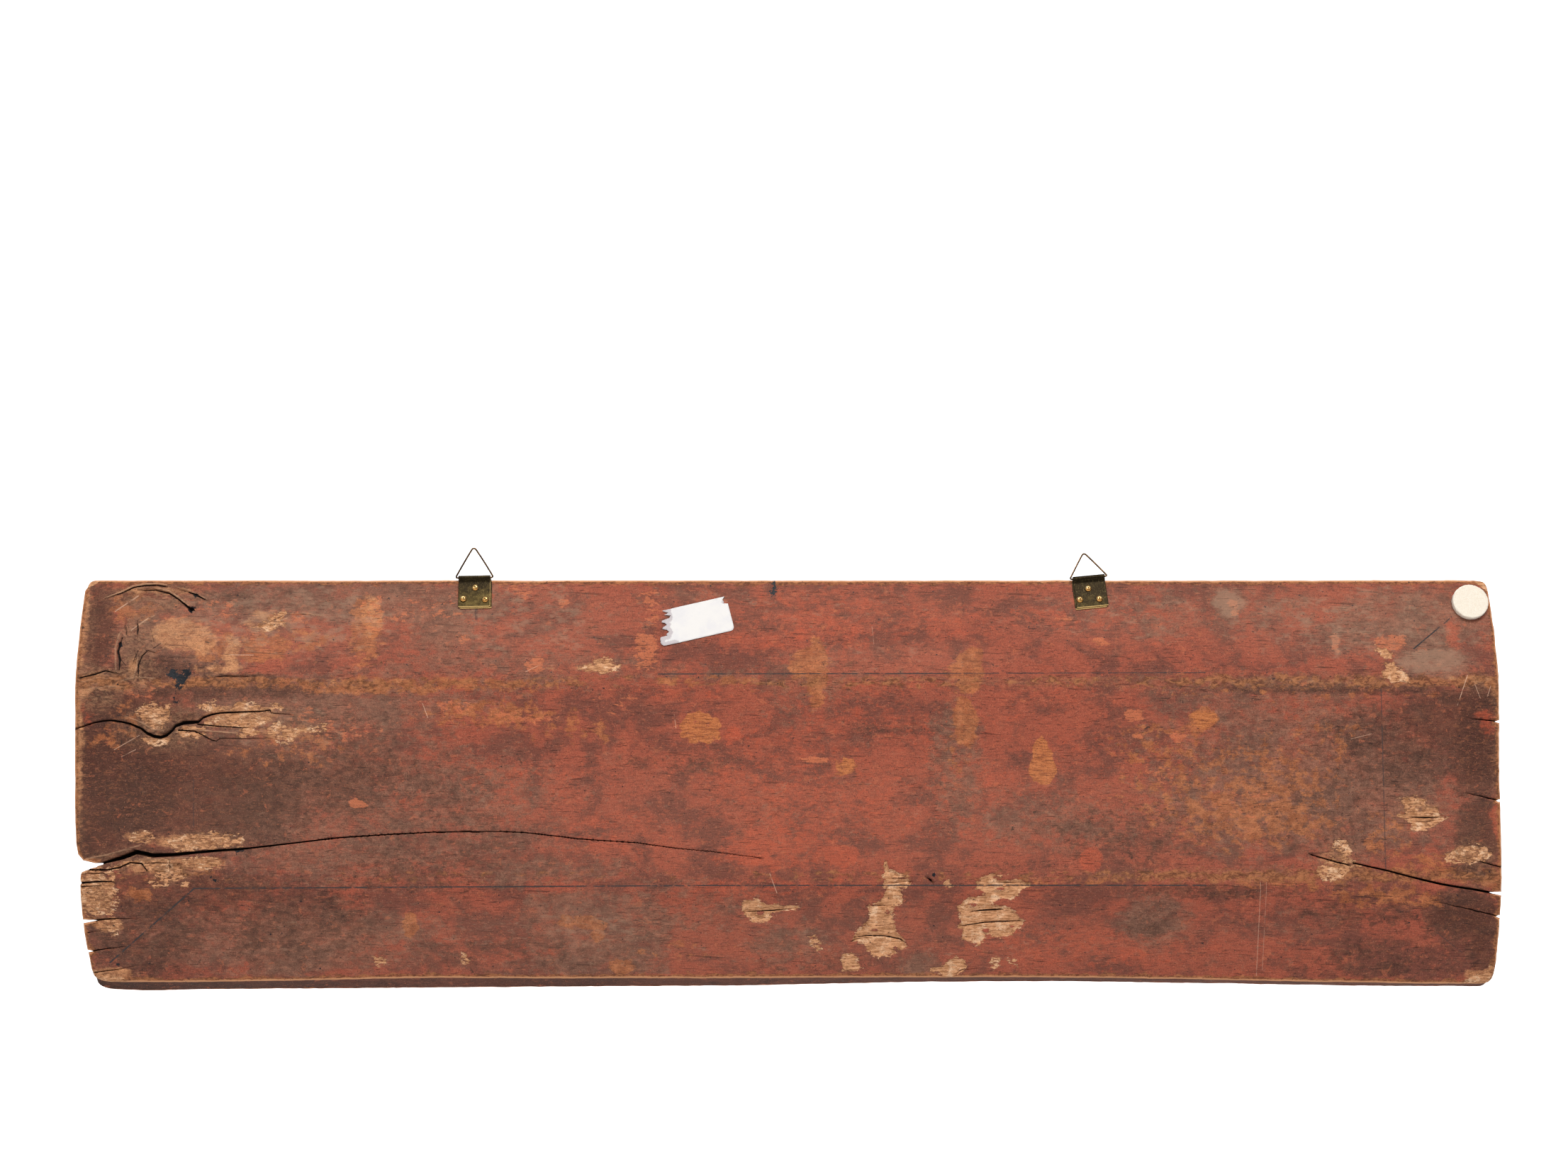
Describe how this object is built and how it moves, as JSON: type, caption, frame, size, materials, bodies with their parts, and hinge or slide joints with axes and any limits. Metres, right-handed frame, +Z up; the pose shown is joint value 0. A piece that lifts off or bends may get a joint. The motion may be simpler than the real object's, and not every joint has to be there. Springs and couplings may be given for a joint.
{
  "type": "carved wooden wall panel",
  "caption": "Long carved wooden relief panel with a bevelled back, vine-scroll front, strap hangers with loose wire rings, a felt pad and a torn paper.",
  "frame": {"origin": "middle of the raised flat field of the back, on the face that rests on the wall", "axes": "+Z up; +X along the panel, to the right as the picture shows it from behind; -Y out of the back towards the wall, so the carved front faces +Y"},
  "size_m": [0.8081, 0.031, 0.2552],
  "materials": {
    "wood": "old red-brown wash, rubbed to bare wood and grimy",
    "brass": "dull dark olive",
    "wire": "tarnished bright drawn wire",
    "screw_brass": "bright",
    "felt": "pressed cream felt",
    "paper": "matt white paper, torn, blank"
  },
  "bodies": {
    "panel": {"relief_board": "wood", "left_hanger_strap": "brass", "right_hanger_strap": "brass", "left_top_screw": "screw_brass", "left_inner_screw": "screw_brass", "left_outer_screw": "screw_brass", "right_top_screw": "screw_brass", "right_inner_screw": "screw_brass", "right_outer_screw": "screw_brass", "felt_pad": "felt", "torn_paper": "paper"},
    "left_ring": {"left_hanging_ring": "wire"},
    "right_ring": {"right_hanging_ring": "wire"}
  },
  "joints": [
    {"name": "left_ring_swing", "type": "hinge", "parent": "panel", "child": "left_ring", "pos_m": [-0.17891, 0.01581, 0.11648], "axis": [0.9998, 0.0059, 0.0201], "range_deg": [-80, 140]},
    {"name": "right_ring_swing", "type": "hinge", "parent": "panel", "child": "right_ring", "pos_m": [0.17214, 0.01581, 0.11647], "axis": [0.9951, 0.0282, 0.0952], "range_deg": [-40, 168]}
  ]
}
